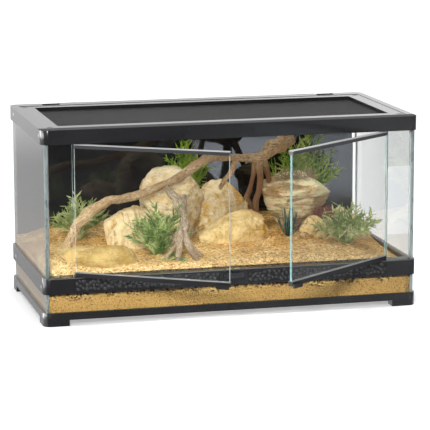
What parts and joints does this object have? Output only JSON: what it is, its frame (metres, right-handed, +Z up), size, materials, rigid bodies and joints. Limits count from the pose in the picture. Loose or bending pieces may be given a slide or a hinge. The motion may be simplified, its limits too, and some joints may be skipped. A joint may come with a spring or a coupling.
{
  "type": "reptile terrarium",
  "caption": "Front-opening glass reptile terrarium with black frames, hinged doors, a turn latch, a lift-off screen lid with corner locks, and sand, rocks, driftwood and plants inside.",
  "frame": {"origin": "centre of the case's footprint, on the table", "axes": "+X along the length to the right, +Y to the back, +Z up; the doors face -Y"},
  "size_m": [0.6, 0.4491, 0.304],
  "materials": {
    "black_plastic": "fine satin moulding",
    "pebbled_plastic": "raised pebble texture",
    "dark_plastic": "satin",
    "gloss_black": "polished, reflecting",
    "clear_glass": "clear float glass with green cut edges",
    "steel": "brushed",
    "magnet_steel": "bright",
    "mesh_wire": "matt black woven wire",
    "sand": "loose golden grains with dark specks",
    "sandstone": "rough, banded cream to ochre",
    "driftwood": "weathered grain",
    "foliage": "soft artificial leaves",
    "agave_leaf": "waxy",
    "red_moss": "tangled fibre",
    "dry_moss": "tangled fibre"
  },
  "bodies": {
    "case": {"base_frame": "black_plastic", "bottom_glass": "clear_glass", "lower_left_glass": "clear_glass", "lower_right_glass": "clear_glass", "lower_back_glass": "clear_glass", "lower_front_glass": "clear_glass", "upper_left_glass": "clear_glass", "upper_right_glass": "clear_glass", "upper_back_glass": "clear_glass", "left_front_strip": "clear_glass", "right_front_strip": "clear_glass", "background_panel": "gloss_black", "middle_band": "black_plastic", "left_pebble_panel": "pebbled_plastic", "right_pebble_panel": "pebbled_plastic", "latch_plate": "black_plastic", "vent_grille": "dark_plastic", "strike_plates": "magnet_steel", "top_frame": "black_plastic", "frame_screws": "steel", "sand_bed": "sand", "round_boulder": "sandstone", "striped_slab": "sandstone", "pale_peak": "sandstone", "front_boulder": "sandstone", "layered_rock": "sandstone", "pitted_stone": "sandstone", "corner_stone": "sandstone", "low_mound_stone": "sandstone", "driftwood_branch": "driftwood", "driftwood_root": "driftwood", "left_plant": "foliage", "centre_plant": "foliage", "hilltop_plant": "foliage", "back_plant": "foliage", "front_right_plant": "foliage", "agave": "agave_leaf", "red_moss": "red_moss", "dry_moss": "dry_moss"},
    "left_door": {"left_door_glass": "clear_glass", "left_top_rail": "black_plastic", "left_bottom_rail": "black_plastic", "left_hinge_pins": "steel", "left_door_magnet": "magnet_steel"},
    "right_door": {"right_door_glass": "clear_glass", "right_top_rail": "black_plastic", "right_bottom_rail": "black_plastic", "right_hinge_pins": "steel", "right_door_magnet": "magnet_steel"},
    "latch": {"turn_latch": "black_plastic"},
    "lid": {"lid_frame": "black_plastic", "screen_mesh": "mesh_wire", "mesh_retainer": "dark_plastic"},
    "front_left_lock": {"front_left_lid_lock": "dark_plastic"},
    "front_right_lock": {"front_right_lid_lock": "dark_plastic"},
    "back_left_lock": {"back_left_lid_lock": "dark_plastic"},
    "back_right_lock": {"back_right_lid_lock": "dark_plastic"},
    "left_gate": {"left_inlet_gate": "dark_plastic"},
    "right_gate": {"right_inlet_gate": "dark_plastic"}
  },
  "joints": [
    {"name": "left_door_hinge", "type": "hinge", "parent": "case", "child": "left_door", "pos_m": [-0.246, -0.146, 0.178], "axis": [0, 0, -1], "range_deg": [-32, 68]},
    {"name": "right_door_hinge", "type": "hinge", "parent": "case", "child": "right_door", "pos_m": [0.246, -0.146, 0.178], "axis": [0, 0, 1], "range_deg": [-37, 63]},
    {"name": "latch_turn", "type": "hinge", "parent": "case", "child": "latch", "pos_m": [0, -0.154, 0.066], "axis": [0, 1, 0], "range_deg": [0, 90]},
    {"name": "lid_lift", "type": "slide", "parent": "case", "child": "lid", "axis": [0, 0, 1], "range_m": [0, 0.06]},
    {"name": "front_left_lock_turn", "type": "hinge", "parent": "lid", "child": "front_left_lock", "pos_m": [-0.28, -0.115, 0.3], "axis": [0, 0, 1], "range_deg": [0, 90]},
    {"name": "front_right_lock_turn", "type": "hinge", "parent": "lid", "child": "front_right_lock", "pos_m": [0.28, -0.115, 0.3], "axis": [0, 0, -1], "range_deg": [0, 90]},
    {"name": "back_left_lock_turn", "type": "hinge", "parent": "lid", "child": "back_left_lock", "pos_m": [-0.28, 0.115, 0.3], "axis": [0, 0, -1], "range_deg": [0, 90]},
    {"name": "back_right_lock_turn", "type": "hinge", "parent": "lid", "child": "back_right_lock", "pos_m": [0.28, 0.115, 0.3], "axis": [0, 0, 1], "range_deg": [0, 90]},
    {"name": "left_gate_slide", "type": "slide", "parent": "case", "child": "left_gate", "axis": [1, 0, 0], "range_m": [0, 0.0285]},
    {"name": "right_gate_slide", "type": "slide", "parent": "case", "child": "right_gate", "axis": [-1, 0, 0], "range_m": [0, 0.0285]}
  ]
}
